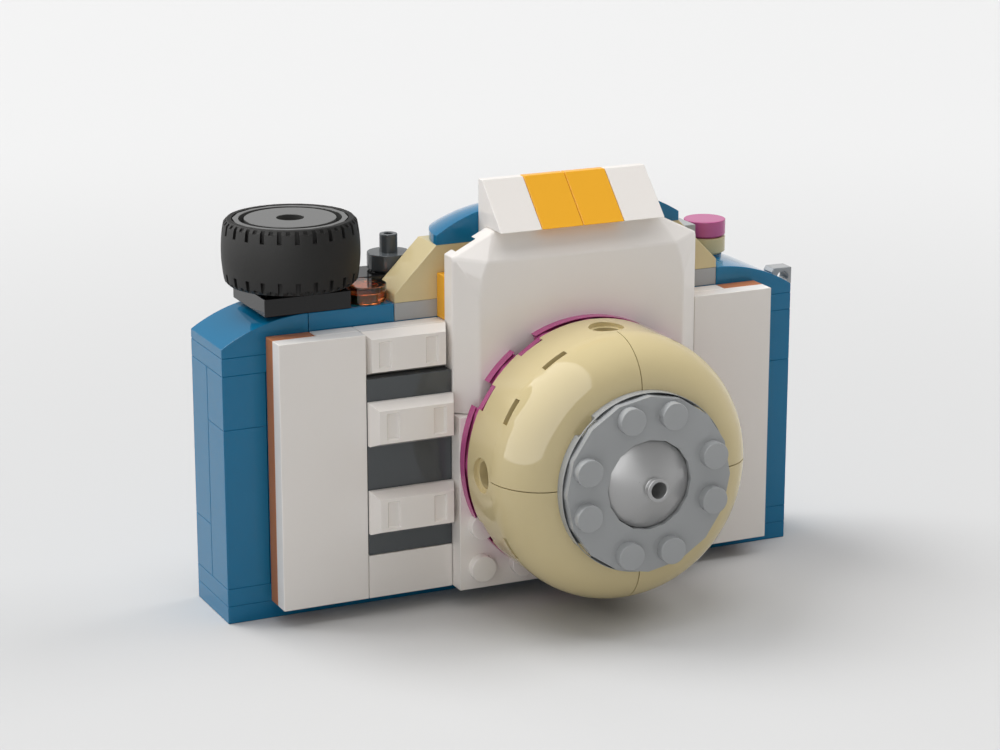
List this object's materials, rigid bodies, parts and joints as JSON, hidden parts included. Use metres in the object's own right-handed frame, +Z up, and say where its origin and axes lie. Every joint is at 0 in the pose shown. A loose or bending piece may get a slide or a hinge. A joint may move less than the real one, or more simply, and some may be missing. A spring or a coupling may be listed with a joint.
{
  "type": "toy camera",
  "caption": "Toy camera built from studded bricks and plates, with a round domed lens, grip bars, a slanted hood and a turning tyre as its dial.",
  "frame": {"origin": "middle of the base plate's footprint, on the plane that it rests on", "axes": "+X to the camera's right as seen from in front of the lens, +Y to the back, +Z up; the lens points along -Y"},
  "size_m": [0.1158, 0.0588, 0.0752],
  "materials": {
    "azure_plastic": "smooth gloss moulded plastic",
    "white_plastic": "smooth gloss moulded plastic",
    "tan_plastic": "smooth gloss moulded plastic",
    "orange_plastic": "smooth gloss moulded plastic",
    "nougat_plastic": "smooth gloss moulded plastic",
    "rose_plastic": "smooth gloss moulded plastic",
    "light_grey_plastic": "smooth gloss moulded plastic",
    "dark_grey_plastic": "smooth gloss moulded plastic",
    "black_plastic": "smooth gloss moulded plastic",
    "tyre_rubber": "matt moulded rubber",
    "clear_orange_plastic": "clear tinted plastic",
    "silver_plastic": "metallic silver lacquer on plastic"
  },
  "bodies": {
    "camera_body": {"base_plate": "azure_plastic", "sill_plate": "azure_plastic", "corner_posts": "azure_plastic", "corner_bricks": "azure_plastic", "core_plates": "azure_plastic", "core_plates_upper": "azure_plastic", "side_stud_bricks": "azure_plastic", "short_side_stud_bricks": "azure_plastic", "back_bricks": "azure_plastic", "back_brick_top": "azure_plastic", "small_spacers": "azure_plastic", "end_plates": "azure_plastic", "end_slope_left": "azure_plastic", "end_slope_right": "azure_plastic", "shoulder_plate": "azure_plastic", "top_plate": "light_grey_plastic", "trim_plates": "nougat_plastic", "backing_strips": "white_plastic", "backing_plate_wide": "white_plastic", "centre_backing_plate": "white_plastic", "panel_tile_left": "white_plastic", "panel_tile_right": "white_plastic", "foot_tile": "white_plastic", "jumper_plate": "dark_grey_plastic", "centre_mid_plate": "white_plastic", "studded_plate": "white_plastic", "grip_bar_top": "white_plastic", "grip_bar_middle": "white_plastic", "grip_bar_bottom": "white_plastic", "hood": "white_plastic", "orange_plate": "orange_plastic", "cap_left": "white_plastic", "cap_mid_left": "orange_plastic", "cap_mid_right": "orange_plastic", "cap_right": "white_plastic", "lens_mount_plate": "rose_plastic", "lens_barrel": "tan_plastic", "lens_dome_a": "tan_plastic", "lens_dome_b": "tan_plastic", "lens_dome_c": "tan_plastic", "lens_dome_d": "tan_plastic", "lens_front_plate": "light_grey_plastic", "lens_dish": "silver_plastic", "roof_slope_left": "tan_plastic", "roof_slope_right": "tan_plastic", "crown_dome_left": "azure_plastic", "crown_dome_right": "azure_plastic", "crown_back_brick": "azure_plastic", "crown_fill_bricks": "azure_plastic", "crown_tile": "azure_plastic", "dial_base": "black_plastic", "rear_plate": "black_plastic", "eyepiece_block": "light_grey_plastic", "strap_lug": "light_grey_plastic"},
    "dial": {"dial_hub": "dark_grey_plastic", "dial_tyre": "tyre_rubber"},
    "knob": {"knob_base": "tan_plastic", "knob_cap": "rose_plastic"},
    "post": {"shutter_post": "dark_grey_plastic"},
    "lamp": {"signal_lamp": "clear_orange_plastic"}
  },
  "joints": [
    {"name": "dial_turn", "type": "hinge", "parent": "camera_body", "child": "dial", "pos_m": [-0.04, 0, 0.064], "axis": [0, 0, 1], "continuous": true},
    {"name": "knob_turn", "type": "hinge", "parent": "camera_body", "child": "knob", "pos_m": [0.044, 0.004, 0.0576], "axis": [0, 0, 1], "continuous": true},
    {"name": "post_turn", "type": "hinge", "parent": "camera_body", "child": "post", "pos_m": [-0.02, 0.004, 0.0608], "axis": [0, 0, 1], "continuous": true},
    {"name": "lamp_turn", "type": "hinge", "parent": "camera_body", "child": "lamp", "pos_m": [-0.028, -0.004, 0.056], "axis": [0, 0, 1], "continuous": true}
  ]
}
